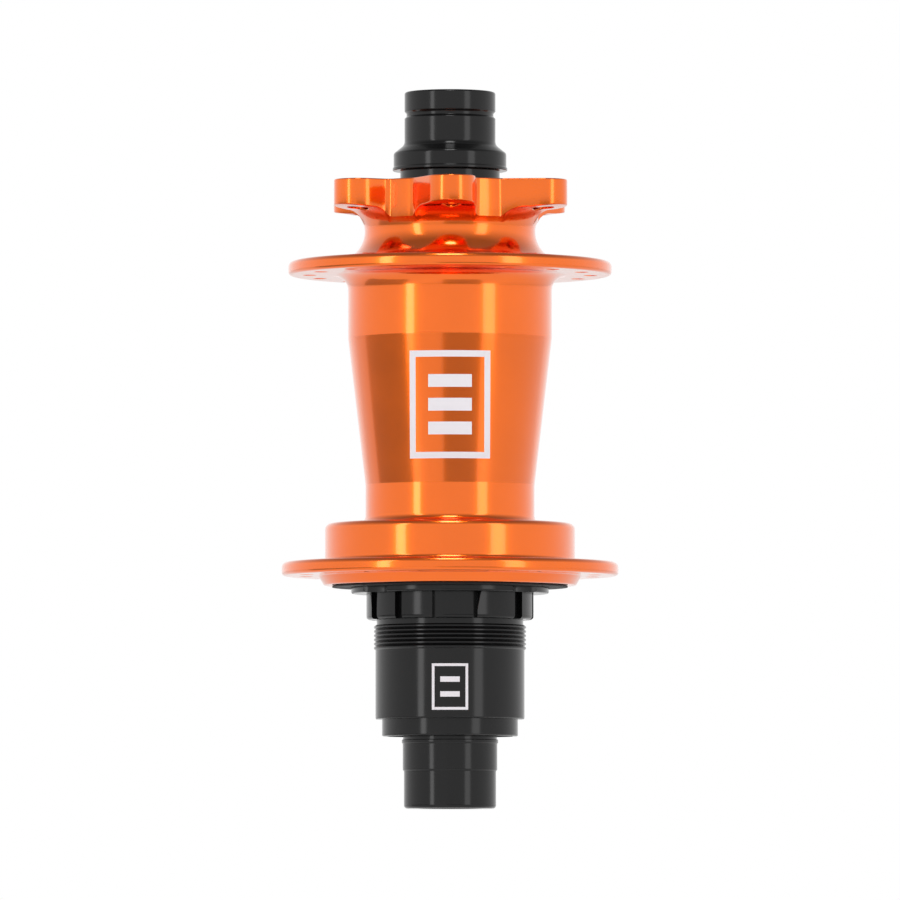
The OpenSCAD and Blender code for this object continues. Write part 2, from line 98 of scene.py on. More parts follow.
# Points each way over a line of a printed plate, and how far the ink stands proud
PLATE_POINTS = 25
INK_PROUD = 0.03 * MM

# Grey cards on the floor that only reflections see: name, first and last angle from the camera
CARDS = (("left_card", -112, -50), ("right_card", -8, 36))
CARD_NEAR, CARD_FAR = 0.3, 2.4
CARD_LIFT = 0.002
# The soft box over the front of the hub
TOP_BOX_PLACE = (0, -0.45, 0.95)
TOP_BOX_WIDTH, TOP_BOX_LENGTH = 0.24, 0.5
# The room's light is full below the first height of a view's direction and dim above the second
ROOM_FADE_START, ROOM_FADE_END, ROOM_DIM = 0.25, 0.8, 0.3
FLOOR_REACH = 4.0


# ---------------------------------------------------------------- settings

def length(label, about, millimetres):
    """A size in metres that shows in scene units, with its default given in millimetres."""
    return FloatProperty(
        name=label, description=about, default=millimetres * MM, min=0.0,
        subtype="DISTANCE", unit="LENGTH", precision=5)


def angle(label, about, degrees):
    """An angle that shows in degrees."""
    return FloatProperty(
        name=label, description=about, default=math.radians(degrees), subtype="ANGLE", unit="ROTATION")


def power(label, about, watts):
    """The power of a lamp."""
    return FloatProperty(name=label, description=about, default=watts, min=0.0, unit="POWER")


def share(label, about, value):
    """A plain number from 0 to 1."""
    return FloatProperty(name=label, description=about, default=value, min=0.0, max=1.0, subtype="FACTOR")


def colour(label, about, value):
    """A colour of a finish."""
    return FloatVectorProperty(
        name=label, description=about, default=value, min=0.0, max=1.0, size=3, subtype="COLOR")


class ShellSizes(PropertyGroup):
    """Sizes of the hub shell."""

    neck_radius: length("Neck", "Radius of the neck under the rotor mount", 17.63)
    neck_cove: length("Neck cove", "Radius of the sweep from the neck to the brake flange", 6.3)
    valley_radius: length("Valley", "Radius of the rotor mount between its tabs", 18.2)
    tab_radius: length("Tab tip", "Radius of each tab's round end", 4.95)
    tab_thickness: length("Tab", "Thickness of a tab at its tip", 5.25)
    tab_dish: length("Dish", "How far the underside of the tabs falls towards the neck", 0.65)
    tab_cove: length("Tab cove", "Radius of the sweep from the tabs to the neck", 4.0)
    tab_phase: angle("Tab phase", "Where the first tab points", 30.7)
    tab_flank_start: angle("Flank start", "Where a slanted flank leaves the valley, behind its tab", 25.4)
    tab_fillet: length("Tab fillet", "Radius between a tab's square side and the valley", 1.1)
    flange_thickness: length("Flange", "Thickness of both spoke flanges", 2.8)
    brake_flange_radius: length("Brake flange", "Outer radius of the brake-side flange", 33.4)
    rim_top_round: length("Rim top", "Rounding of a flange rim's upper edge", 1.1)
    rim_low_round: length("Rim low", "Rounding of a flange rim's lower edge", 0.7)
    spoke_phase: angle("Spoke phase", "Where the first brake-side spoke hole lies", 1.3)
    body_radius: length("Body", "Radius of the body under the brake flange", 21.05)
    body_cove: length("Body cove", "Radius of the sweep under the brake flange", 3.15)
    taper_top: length("Taper top", "Height where the taper starts", 23.1)
    taper_depth: length("Taper end", "Depth below the middle where the taper ends", 7.3)
    waist_radius: length("Waist", "Radius of the waist under the taper", 17.45)
    step_radius: length("Step", "Radius of the wall around the ratchet", 25.8)
    step_depth: length("Step depth", "Depth of the step's upper face below the middle", 15.2)
    collar_radius: length("Collar", "Radius of the collar under the drive flange", 27.15)
    bore_radius: length("Bore", "Radius of the hollow body between its bearings", 13.9)
    edge_round: length("Edge", "Rounding of the machined edges", 0.28)
    hole_flare: length("Hole flare", "Rounding of the mouths of the holes", 0.3)


class CapSizes(PropertyGroup):
    """Sizes of the two end caps."""

    through_bore: length("Bore", "Radius of the bore for the through axle", 6.05)
    spigot_radius: length("Spigot", "Radius of the spigot inside the axle", 7.45)
    brake_nose: length("Brake nose", "Radius of the brake-side nose", 9.4)
    shoulder_radius: length("Shoulder", "Radius of the brake-side shoulder", 11.65)
    brake_neck: length("Brake neck", "Radius of the neck that bears on the brake bearing", 10.285)
    drive_nose: length("Drive nose", "Radius of the drive-side nose", 9.5)
    drive_barrel: length("Drive barrel", "Radius of the barrel above the drive-side nose", 9.75)
    drive_neck: length("Drive neck", "Radius of the neck that bears on the driver's bearing", 9.705)


class Finishes(PropertyGroup):
    """Colours and gloss of the finishes."""

    orange: colour("Orange", "Polished and anodised shell", (0.93, 0.155, 0.002))
    black: colour("Black", "Anodised driver and end caps", (0.004, 0.004, 0.0042))
    ink: colour("Ink", "Printed marks", (0.80, 0.78, 0.82))
    orange_roughness: share("Orange roughness", "Roughness of the alloy under the clear layer", 0.19)
    clear_layer: share("Clear layer", "Strength of the clear layer on the orange shell", 0.8)
    clear_roughness: share("Clear roughness", "Roughness of the clear layer", 0.08)
    black_roughness: share("Black roughness", "Roughness of the black parts", 0.14)
    black_gloss: share("Black gloss", "Strength of the reflections on the black parts", 0.33)


class StudioSettings(PropertyGroup):
    """Camera, lamps and floor."""

    camera_distance: length("Distance", "Level distance from the hub to the camera", 2218.0)
    camera_drop: length("Drop", "How far the camera is below the hub's middle", 103.0)
    field_width: length("Field", "Width of the view at the hub", 185.8)
    floor_drop: length("Floor", "How far the floor is below the hub's middle", 160.0)
    lamp_distance: length("Lamp distance", "Level distance from the hub to the strip lamps", 1000.0)
    lamp_height: length("Lamp height", "Height of the strip lamps", 800.0)
    lamp_drop: length("Lamp drop", "How far the strip lamps reach below the hub's middle", 130.0)
    left_lamp_angle: angle("Left lamp", "How far the left strip lamp stands from the camera", 45.5)
    right_lamp_angle: angle("Right lamp", "How far the right strip lamp stands from the camera", 44.5)
    left_lamp_width: length("Left lamp width", "Width of the left strip lamp", 165.0)
    right_lamp_width: length("Right lamp width", "Width of the right strip lamp", 250.0)
    left_lamp_power: power("Left lamp power", "Power of the left strip lamp", 1.2)
    right_lamp_power: power("Right lamp power", "Power of the right strip lamp", 1.05)
    top_box_power: power("Top box power", "Power of the soft box overhead", 2.2)
    floor_glow: share("Floor glow", "Light that the floor gives off by itself", 0.38)


# ---------------------------------------------------------------- surfaces

def rounded(corners, step=math.radians(10)):
    """A smooth outline through corners given as (radius, height, rounding).

    Each corner is replaced by the arc that touches both of its sides, which starts at the rounding
    over the tangent of half the corner's angle. A support point follows each end of an arc, so that
    shading stays flat along the straight stretches.
    """
    points = []
    for index, (x, y, rounding) in enumerate(corners):
        here = np.array([x, y])
        if rounding == 0 or index in (0, len(corners) - 1):
            points.append(here)
            continue
        back = np.array(corners[index - 1][:2]) - here
        ahead = np.array(corners[index + 1][:2]) - here
        back_side, ahead_side = np.linalg.norm(back), np.linalg.norm(ahead)
        back, ahead = back / back_side, ahead / ahead_side
        half = math.acos(np.clip(back @ ahead, -1, 1)) / 2
        reach = rounding / math.tan(half)
        centre = here + (back + ahead) / np.linalg.norm(back + ahead) * rounding / math.sin(half)
        spoke = here + back * reach - centre
        sweep = math.pi - 2 * half
        turn = np.sign(back[1] * ahead[0] - back[0] * ahead[1]) * sweep
        turns = turn * np.linspace(0, 1, max(3, math.ceil(sweep / step) + 1))
        arc = centre + np.stack([
            spoke[0] * np.cos(turns) - spoke[1] * np.sin(turns),
            spoke[0] * np.sin(turns) + spoke[1] * np.cos(turns)], axis=-1)
        support = min(SUPPORT, 0.2 * max(back_side - reach, 0), 0.2 * max(ahead_side - reach, 0))
        if support > 1e-6:
            points.append(here + back * (reach + support))
        points.extend(arc)
        if support > 1e-6:
            points.append(here + ahead * (reach + support))
    return np.array(points)


def turned(outline, angles):
    """The surface of an outline carried round the axle: (r cos a, r sin a, z) for each angle a."""
    radius, height = outline[:, 0, None], outline[:, 1, None]
    angles = np.broadcast_to(angles, (len(outline), angles.shape[-1]))
    return np.stack(
        [radius * np.cos(angles), radius * np.sin(angles), np.broadcast_to(height, angles.shape)], axis=-1)


def closed_ring(outline, columns=256):
    """A closed outline carried once round the axle."""
    loop = np.concatenate([outline, outline[:1]])
    return turned(loop, np.linspace(0, 2 * math.pi, columns, endpoint=False)[None]), True


def pierced(upper_loop, lower_loop, centre, hole_radius, flare, upper_height, lower_height,
            blends=(0, 0.5), pitch=0):
    """A plate with a hole, as one tube of points.

    Columns run round the plate's edge and rows run inwards over the upper face, down the hole and out
    over the lower face. A row over a face is a blend from the edge to the hole's circle, and the
    mouths of the hole are quarter arcs. Heights are functions of the distance from the axle. A tapped
    hole's radius grows by up to 0.4 of the pitch in even ridges down its wall.
    """
    ray = upper_loop - centre
    ray = ray / np.linalg.norm(ray, axis=-1, keepdims=True)
    mouth = hole_radius + flare

    def face(loop, height):
        blend = np.array(blends)[:, None, None]
        plan = (1 - blend) * loop + blend * (centre + mouth * ray)
        plan = np.concatenate([plan, (centre + (mouth + MOUTH_SUPPORT) * ray)[None]])
        return np.concatenate([plan, height(np.linalg.norm(plan, axis=-1))[..., None]], axis=-1)

    def lip(height, side):
        turns = np.linspace(0, math.pi / 2, 4)[:, None]
        radius = hole_radius + flare * (1 - np.sin(turns))
        plan = centre + radius[..., None] * ray
        level = height(np.linalg.norm(centre + mouth * ray, axis=-1)) - side * flare * (1 - np.cos(turns))
        return np.concatenate([plan, level[..., None]], axis=-1)

    upper, lower = lip(upper_height, 1), lip(lower_height, -1)[::-1]
    ridges = round(float(np.mean(upper[-1, :, 2] - lower[0, :, 2])) / pitch) if pitch else 0
    share_down = (np.arange(1, 2 * ridges) / max(1, 2 * ridges))[:, None, None]
    wall = (1 - share_down) * upper[-1] + share_down * lower[0]
    wall[0::2, :, :2] += 0.4 * pitch * ray
    rows = [face(upper_loop, upper_height), upper, wall, lower, face(lower_loop, lower_height)[::-1]]
    return np.concatenate(rows), True


def patch_edge(inner, outer, first, last, steps=1):
    """The closed edge of a patch between two rings of points, with steps along its straight sides."""
    columns = np.arange(first, last + 1) % len(inner)
    along = np.linspace(0, 1, steps + 1)[1:-1, None]
    start, end = (
        (1 - along) * inner[column] + along * outer[column] for column in (columns[0], columns[-1]))
    return np.concatenate([inner[columns], end, outer[columns[::-1]], start[::-1]])


def make_piece(name, grids, material, body, replaced=()):
    """One mesh from grids of points, welded where they meet, facing outwards and shaded smooth."""
    points, quads, start = [], [], 0
    for grid, wraps in grids:
        rows, columns = grid.shape[:2]
        index = start + np.arange(rows * columns).reshape(rows, columns)
        if wraps:
            index = np.hstack([index, index[:, :1]])
        cells = [index[:-1, :-1], index[:-1, 1:], index[1:, 1:], index[1:, :-1]]
        quads.append(np.stack(cells, axis=-1).reshape(-1, 4))
        points.append(grid.reshape(-1, 3))
        start += rows * columns
    points, quads = np.concatenate(points), np.concatenate(quads)
    cell = np.floor(points / WELD + 0.37).astype(np.int64)
    _, first, place = np.unique(cell, axis=0, return_index=True, return_inverse=True)
    points, quads = points[first], place.reshape(-1)[quads]
    mesh = bpy.data.meshes.new(name)
    mesh.vertices.add(len(points))
    mesh.vertices.foreach_set("co", points.astype(np.float32).ravel())
    mesh.loops.add(quads.size)
    mesh.loops.foreach_set("vertex_index", quads.astype(np.int32).ravel())
    mesh.polygons.add(len(quads))
    mesh.polygons.foreach_set("loop_start", np.arange(0, quads.size, 4, dtype=np.int32))
    mesh.update(calc_edges=True)
    mesh.validate()
    solid = bmesh.new()
    solid.from_mesh(mesh)
    bmesh.ops.recalc_face_normals(solid, faces=solid.faces)
    solid.to_mesh(mesh)
    solid.free()
    mesh.shade_smooth()
    mesh.set_sharp_from_angle(angle=CRISP)
    mesh.materials.append(material)
    piece = bpy.data.objects.new(name, mesh)
    bpy.context.scene.collection.objects.link(piece)
    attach(piece, body)
    if replaced:
        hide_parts(*replaced)
    return piece


# ---------------------------------------------------------------- shell

def even_angles(sizes):
    """Column angles that put the edge between two brake-side spoke holes on a column."""
    start = sizes.spoke_phase - 2 * math.pi / COLUMNS
    return start + 2 * math.pi * np.arange(COLUMNS) / COLUMNS


def tab_outline(sizes):
    """The rotor mount's outline and its outward directions, an equal number of points for each tab.

    Over one tab it is an arc of the valley, a straight flank that touches the tip, the tip's arc, a
    square side, a fillet and the valley again, spaced evenly along its length and turned from tab to
    tab.
    """
    reach = ROTOR_BOLTS["dims"]["pcd_mm"] / 2 * MM
    tip, valley, fillet = sizes.tab_radius, sizes.valley_radius, sizes.tab_fillet
    half_turn = math.pi / TABS

    def arc(centre_x, centre_y, radius, start, end, count=60):
        turns = np.linspace(start, end, count)
        return np.stack([centre_x + radius * np.cos(turns), centre_y + radius * np.sin(turns)], axis=-1)

    foot = valley * np.array([math.cos(sizes.tab_flank_start), -math.sin(sizes.tab_flank_start)])
    to_tip = np.array([reach, 0.0]) - foot
    flank_turn = math.atan2(to_tip[1], to_tip[0]) - math.asin(tip / np.linalg.norm(to_tip))
    fillet_y = tip + fillet
    fillet_x = math.sqrt((valley + fillet) ** 2 - fillet_y ** 2)
    valley_turn = math.atan2(fillet_y, fillet_x)
    dense = np.concatenate([
        arc(0, 0, valley, -half_turn, -sizes.tab_flank_start),
        arc(reach, 0, tip, flank_turn - math.pi / 2, math.pi / 2),
        arc(fillet_x, fillet_y, fillet, -math.pi / 2, -math.pi + valley_turn),
        arc(0, 0, valley, valley_turn, half_turn)])
    walked = np.concatenate([[0], np.cumsum(np.linalg.norm(np.diff(dense, axis=0), axis=1))])
    even = np.linspace(0, walked[-1], TAB_COLUMNS, endpoint=False)
    tab = np.interp(even, walked, dense[:, 0]) + 1j * np.interp(even, walked, dense[:, 1])
    turns = sizes.tab_phase + 2 * half_turn * np.arange(TABS)
    outline = (tab[None] * np.exp(1j * turns)[:, None]).ravel()
    along = np.roll(outline, -1) - np.roll(outline, 1)
    outward = -1j * along / np.abs(along)
    return outline, outward


def as_plan(numbers):
    """Complex numbers as (x, y) pairs."""
    return np.stack([numbers.real, numbers.imag], axis=-1)


def rotor_mount(sizes):
    """The grids of the six-tab mount, and the angles of its columns where it meets the neck.

    Its side follows the outline with a quarter arc at the top and another at the bottom. Its underside
    is a cove, z = foot + sqrt(cove^2 - (cove's end - r)^2), and past the cove it rises by the dish times
    the share of the way to the tip, to the power 1.5. Each tab is pierced by its bolt hole.
    """
    outline, outward = tab_outline(sizes)
    reach = ROTOR_BOLTS["dims"]["pcd_mm"] / 2 * MM
    hole_radius = ROTOR_BOLTS["dims"]["hole_r_mm"] * MM
    cove_end = sizes.neck_radius + sizes.tab_cove
    tip_reach = reach + sizes.tab_radius
    foot = ROTOR_FACE_Z - sizes.tab_thickness - sizes.tab_dish - sizes.tab_cove

    def under(radius):
        inside = np.clip(cove_end - radius, 0, sizes.tab_cove)
        past = np.clip((radius - cove_end) / (tip_reach - cove_end), 0, None)
        return foot + np.sqrt(sizes.tab_cove ** 2 - inside ** 2) + sizes.tab_dish * past ** 1.5

    def over(radius):
        return np.full(np.shape(radius), ROTOR_FACE_Z)

    edge = sizes.edge_round
    low_edge = edge * np.clip((np.abs(outline) - sizes.valley_radius) / (2 * MM), 0.1, 1)
    turns = np.linspace(0, math.pi / 2, 5)[:, None]
    upper = outline - outward * edge * (1 - np.sin(turns))
    upper_z = ROTOR_FACE_Z - edge * (1 - np.cos(turns)) + 0 * np.abs(outline)
    lower = outline - outward * low_edge * (1 - np.sin(turns))
    lower_z = under(np.abs(lower[0])) + low_edge * (1 - np.cos(turns))
    side = np.concatenate([upper, lower[::-1]])
    side_z = np.concatenate([upper_z, lower_z[::-1]])
    wall = np.concatenate([as_plan(side), side_z[..., None]], axis=-1)

    directions = outline / np.abs(outline)
    first_angle = even_angles(sizes)[0]
    angles = first_angle + np.unwrap(np.angle(directions * np.exp(-1j * first_angle)))
    ledge = np.full(COLUMNS, sizes.neck_radius + 0.12 * MM)
    seat = top_ring_radius(sizes)
    blend = np.linspace(0, 1, 6)[:, None]
    top_radius = (1 - blend) * seat + blend * ledge
    top = np.stack([top_radius * np.cos(angles), top_radius * np.sin(angles), over(top_radius)], axis=-1)
    bend = np.arccos(1 - (ledge - sizes.neck_radius) / sizes.tab_cove)
    bends = np.linspace(0, 1, 4)[:, None] * bend
    cove_radius = cove_end - sizes.tab_cove * np.cos(bends)
    cove = np.stack([
        cove_radius * np.cos(angles), cove_radius * np.sin(angles),
        foot + sizes.tab_cove * np.sin(bends)], axis=-1)
    cove[-1, :, 2] = under(ledge)
    grids = [(wall, True), (top, True), (cove, True)]

    inner = ledge[:, None] * as_plan(directions)
    upper_outer, lower_outer = as_plan(upper[0]), as_plan(lower[0])
    raised = np.abs(outline[:TAB_COLUMNS]) > sizes.valley_radius + 0.4 * MM
    first, last = np.flatnonzero(raised)[[0, -1]]
    for tab in range(TABS):
        start = tab * TAB_COLUMNS
        centre = reach * np.array([
            math.cos(sizes.tab_phase + 2 * math.pi * tab / TABS),
            math.sin(sizes.tab_phase + 2 * math.pi * tab / TABS)])
        grids.append(pierced(
            patch_edge(inner, upper_outer, start + first, start + last),
            patch_edge(inner, lower_outer, start + first, start + last),
            centre, hole_radius, sizes.hole_flare, over, under,
            blends=(0, 0.12, 0.26, 0.42, 0.6, 0.8), pitch=BOLT_PITCH))
        valley = np.arange(start + last, start + TAB_COLUMNS + first + 1) % COLUMNS
        for outer, height in ((upper_outer, over), (lower_outer, under)):
            strip = np.stack([inner[valley], outer[valley]])
            level = height(np.linalg.norm(strip, axis=-1))[..., None]
            grids.append((np.concatenate([strip, level], axis=-1), False))
    return grids, angles, foot


def spoke_flange(sizes, mount, inner_radius, outer_radius, angles):
    """A flat ring pierced by its spoke holes: one patch for each, from column to column."""
    ring = np.stack([np.cos(angles), np.sin(angles)], axis=-1)
    inner, outer = inner_radius * ring, outer_radius * ring
    middle, half = mount["pos_m"][2], sizes.flange_thickness / 2
    circle = mount["dims"]["pcd_mm"] / 2 * MM
    phase = 0 if mount is DRIVE_SPOKES else SPOKE_COLUMNS // 2

    def level(height):
        return lambda radius: np.full(np.shape(radius), height)

    grids = []
    for spoke in range(SPOKES):
        first = 1 + spoke * SPOKE_COLUMNS + phase
        turn = angles[first % COLUMNS] + math.pi / SPOKES
        edge = patch_edge(inner, outer, first, first + SPOKE_COLUMNS, steps=8)
        grids.append(pierced(
            edge, edge, circle * np.array([math.cos(turn), math.sin(turn)]),
            mount["dims"]["hole_r_mm"] * MM, sizes.hole_flare,
            level(middle + half), level(middle - half)))
    return grids


def top_ring_radius(sizes):
    """Radius on the rotor face where the flat face starts, outside the bearing seat's rounded mouth."""
    return BRAKE_BEARING_HIGH.x + 2.5 * sizes.edge_round


def shell_grids(sizes):
    """Every surface of the shell, from the rotor mount down its outside and back up its inside."""
    mount, tab_angles, foot = rotor_mount(sizes)
    angles = even_angles(sizes)
    half = sizes.flange_thickness / 2
    brake_top, brake_low = BRAKE_SPOKES["pos_m"][2] + half, BRAKE_SPOKES["pos_m"][2] - half
    drive_top, drive_low = DRIVE_SPOKES["pos_m"][2] + half, DRIVE_SPOKES["pos_m"][2] - half
    drive_radius = SHELL_HIGH.x
    brake_inner, drive_inner = sizes.body_radius + 4.4 * MM, sizes.collar_radius + 0.45 * MM
    brake_outer = sizes.brake_flange_radius - sizes.rim_top_round - RIM_SUPPORT
    drive_outer = drive_radius - sizes.rim_top_round - RIM_SUPPORT
    step_top, edge = -sizes.step_depth, sizes.edge_round
    neck = rounded([
        (sizes.neck_radius, foot, 0), (sizes.neck_radius, brake_top, sizes.neck_cove),
        (brake_inner, brake_top, 0)], math.radians(7))
    fade = np.clip(np.arange(len(neck)) / (len(neck) - 2), 0, 1)[:, None]
    fade = fade * fade * (3 - 2 * fade)
    neck_angles = (1 - fade) * tab_angles + fade * angles

    def rim(radius, outer, top, low):
        return turned(rounded([
            (outer, top, 0), (radius, top, sizes.rim_top_round),
            (radius, low, sizes.rim_low_round), (outer, low, 0)]), angles[None]), True

    body = rounded([
        (brake_inner, brake_low, 0), (sizes.body_radius, brake_low, sizes.body_cove),
        (sizes.body_radius, sizes.taper_top, 1.2 * MM), (sizes.waist_radius, -sizes.taper_depth, 1.2 * MM),
        (sizes.waist_radius, step_top, 1.6 * MM), (sizes.step_radius, step_top, 1.3 * MM),
        (sizes.step_radius, drive_top, 1.0 * MM), (drive_inner, drive_top, 0)], math.radians(10))
    seat, bore, cavity = BRAKE_BEARING_HIGH.x, sizes.bore_radius, RING_HIGH.x
    inside = rounded([
        (drive_inner, drive_low, 0), (sizes.collar_radius, drive_low, edge),
        (sizes.step_radius + 0.2 * MM, SHELL_LOW.z, 0.5 * MM), (cavity, SHELL_LOW.z, edge),
        (cavity, RING_HIGH.z, edge), (seat, RING_HIGH.z, edge), (seat, WAIST_BEARING_HIGH.z, 0),
        (bore, WAIST_BEARING_HIGH.z, edge), (bore, BRAKE_BEARING_LOW.z, edge),
        (seat, BRAKE_BEARING_LOW.z, 0), (seat, ROTOR_FACE_Z, 1.6 * edge),
        (top_ring_radius(sizes), ROTOR_FACE_Z, 0)], math.radians(30))
    bore_length = BRAKE_BEARING_LOW.z - WAIST_BEARING_HIGH.z
    rise = np.clip((inside[:, 1:] - WAIST_BEARING_HIGH.z) / bore_length, 0, 1)
    inside_angles = (1 - rise) * angles + rise * tab_angles
    grids = mount + [
        (turned(neck, neck_angles), True),
        rim(sizes.brake_flange_radius, brake_outer, brake_top, brake_low),
        (turned(body, angles[None]), True),
        rim(drive_radius, drive_outer, drive_top, drive_low),
        (turned(inside, inside_angles), True)]
    grids += spoke_flange(sizes, BRAKE_SPOKES, brake_inner, brake_outer, angles)
    grids += spoke_flange(sizes, DRIVE_SPOKES, drive_inner, drive_outer, angles)
    return grids


# ---------------------------------------------------------------- end caps

def brake_cap_outline(sizes):
    """Outline of the brake-side cap: spigot, neck, lip, shoulder, flared cove and grooved nose."""
    low, high = BRAKE_CAP_LOW.z, BRAKE_CAP_HIGH.z
    face = BRAKE_BEARING_HIGH.z
    lip, shoulder, nose = face + 3.5 * MM, face + 7.1 * MM, face + 8.9 * MM
    groove = high - 4.75 * MM
    lip_radius = BRAKE_CAP_HIGH.x
    depth = 0.42 * MM
    groove_radius = sizes.brake_nose - depth
    return rounded([
        (sizes.through_bore, low + 1 * MM, 0), (sizes.through_bore, low, 0.3 * MM),
        (sizes.spigot_radius, low, 0.4 * MM), (sizes.spigot_radius, face, 0),
        (sizes.brake_neck, face, 0.2 * MM), (sizes.brake_neck, lip, 0.25 * MM),
        (lip_radius, lip, 0.15 * MM), (lip_radius, lip + 0.55 * MM, 0.1 * MM),
        (sizes.shoulder_radius, lip + 0.8 * MM, 0.15 * MM), (sizes.shoulder_radius, shoulder, 0.75 * MM),
        (sizes.brake_nose, nose, 1.5 * MM), (sizes.brake_nose, groove - 0.75 * MM, 0.25 * MM),
        (groove_radius, groove - 0.3 * MM, 0.3 * MM), (groove_radius, groove + 0.3 * MM, 0.3 * MM),
        (sizes.brake_nose, groove + 0.75 * MM, 0.25 * MM),
        (sizes.brake_nose, high, 0.45 * MM), (sizes.through_bore + 0.6 * MM, high, 0.2 * MM),
        (sizes.through_bore, high - 0.6 * MM, 0.2 * MM), (sizes.through_bore, low + 1 * MM, 0)])


def drive_cap_outline(sizes):
    """Outline of the drive-side cap: spigot, neck, round shoulder, barrel, fine step and nose."""
    low, high = DRIVE_CAP_LOW.z, DRIVE_CAP_HIGH.z
    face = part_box("outboard_bearing_inner_race")[0].z
    neck, step = face - 1.1 * MM, face - 7.3 * MM
    brow = DRIVE_CAP_HIGH.x
    return rounded([
        (sizes.through_bore, high - 1 * MM, 0), (sizes.through_bore, high, 0.3 * MM),
        (sizes.spigot_radius, high, 0.4 * MM), (sizes.spigot_radius, face, 0),
        (sizes.drive_neck, face, 0.1 * MM), (sizes.drive_neck, neck, 0),
        (brow, neck, 0.15 * MM), (brow, neck - 0.6 * MM, 0.15 * MM),
        (sizes.drive_barrel, neck - 0.85 * MM, 0.2 * MM), (sizes.drive_barrel, step, 0.2 * MM),
        (sizes.drive_nose, step - 0.3 * MM, 0.2 * MM), (sizes.drive_nose, low, 0.7 * MM),
        (sizes.through_bore + 0.6 * MM, low, 0.2 * MM), (sizes.through_bore, low + 0.6 * MM, 0.2 * MM),
        (sizes.through_bore, high - 1 * MM, 0)])


# ---------------------------------------------------------------- printed marks

def inlay(radius_at, left, right, low, high, proud):
    """A thin closed slab that lies on a turned surface, between two distances along its face.

    A point at distance s and height z lies at angle s over the radius there. The slab's outer face is
    proud of the surface and its inner face is as far below it.
    """
    across, up = np.linspace(left, right, PLATE_POINTS), np.linspace(low, high, PLATE_POINTS)
    section_z = np.concatenate([up, up[::-1], up[:1]])
    lift = np.concatenate([np.full(PLATE_POINTS, proud), np.full(PLATE_POINTS, -proud), [proud]])
    surface = radius_at(section_z)
    turn = -math.pi / 2 + across / surface[:, None]
    radius = (surface + lift)[:, None]
    heights = np.broadcast_to(section_z[:, None], turn.shape)
    band = np.stack([radius * np.cos(turn), radius * np.sin(turn), heights], axis=-1)
    outer, inner = band[:PLATE_POINTS], band[PLATE_POINTS:2 * PLATE_POINTS][::-1]
    ends = [np.stack([outer[:, column], inner[:, column]]) for column in (0, -1)]
    return [(band, False), (ends[0], False), (ends[1], False)]


def nameplate(radius_at, middle, width, height, line, bars):
    """A blank plate: a frame of four lines round plain bars, each given as (share of height, width)."""
    half, top, low = width / 2, middle + height / 2, middle - height / 2
    inside = half - line - 0.01 * MM
    boxes = [
        (-inside, inside, top - line, top), (-inside, inside, low, low + line),
        (-half, -half + line, low, top), (half - line, half, low, top)]
    for level, bar_width in bars:
        centre = low + level * height
        boxes.append((-bar_width / 2, bar_width / 2, centre - line, centre + line))
    grids = []
    for left, right, bottom, ceiling in boxes:
        grids += inlay(radius_at, left, right, bottom, ceiling, INK_PROUD)
    return grids


# ---------------------------------------------------------------- finishes

def node_maker(material):
    """A function that adds a node to a material and sets its inputs by name."""
    nodes, links = material.node_tree.nodes, material.node_tree.links

    def add(kind, settings=None, **inputs):
        node = nodes.new(kind)
        for key, value in (settings or {}).items():
            setattr(node, key, value)
        for key, value in inputs.items():
            socket = node.inputs[int(key[1:])] if key[0] == "_" else node.inputs[key.replace("_", " ")]
            if isinstance(value, bpy.types.NodeSocket):
                links.new(value, socket)
            else:
                socket.default_value = value
        return node

    return add


def finish(name, tint, metallic, roughness, lines=0.0, grain=0.0, variation=0.04, scale=900.0, **sockets):
    """A machined, moulded or printed finish with its own pattern in object space.

    Fine turning lines are one-dimensional noise along the axle, grain is fine noise in all
    directions, and both only tilt the surface. Slow noise varies the tint and the roughness a little.
    """
    material = bpy.data.materials.new(name)
    material.use_nodes = True
    material.node_tree.nodes.clear()
    add = node_maker(material)
    place = add("ShaderNodeTexCoord").outputs["Object"]
    slow = add("ShaderNodeTexNoise", Vector=place, Scale=70.0, Detail=3.0, Roughness=0.55).outputs["Fac"]
    shade = add(
        "ShaderNodeMapRange", _0=slow, _1=0.3, _2=0.7, _3=1 - variation, _4=1 + variation).outputs[0]
    tinted = add("ShaderNodeVectorMath", {"operation": "SCALE"}, _0=tint, Scale=shade).outputs[0]
    fine = add("ShaderNodeTexNoise", Vector=place, Scale=scale, Detail=4.0, Roughness=0.6).outputs["Fac"]
    rough = add(
        "ShaderNodeMapRange", _0=slow, _1=0.3, _2=0.7, _3=roughness * 0.9, _4=roughness * 1.12).outputs[0]
    height = add("ShaderNodeSeparateXYZ", Vector=place).outputs["Z"]
    groove = add(
        "ShaderNodeTexNoise", {"noise_dimensions": "1D"}, W=height, Scale=9000.0, Detail=3.0, Roughness=0.7)
    turned_bump = add("ShaderNodeBump", Strength=lines, Distance=0.00001, Height=groove.outputs["Fac"])
    bump = add(
        "ShaderNodeBump", Strength=grain, Distance=0.00003, Height=fine, Normal=turned_bump.outputs[0])
    shader = add("ShaderNodeBsdfPrincipled", Base_Color=tinted, Roughness=rough, Normal=bump.outputs[0])
    shader.inputs["Metallic"].default_value = metallic
    for key, value in sockets.items():
        shader.inputs[key.replace("_", " ")].default_value = value
    add("ShaderNodeOutputMaterial", Surface=shader.outputs[0])
    return material


def orange_finish(finishes):
    """Polished alloy under clear orange anodising."""
    return finish(
        "orange_anodised", finishes.orange, 1.0, finishes.orange_roughness, lines=0.05, grain=0.02,
        variation=0.03, Coat_Weight=finishes.clear_layer, Coat_Roughness=finishes.clear_roughness,
        Coat_IOR=1.53)


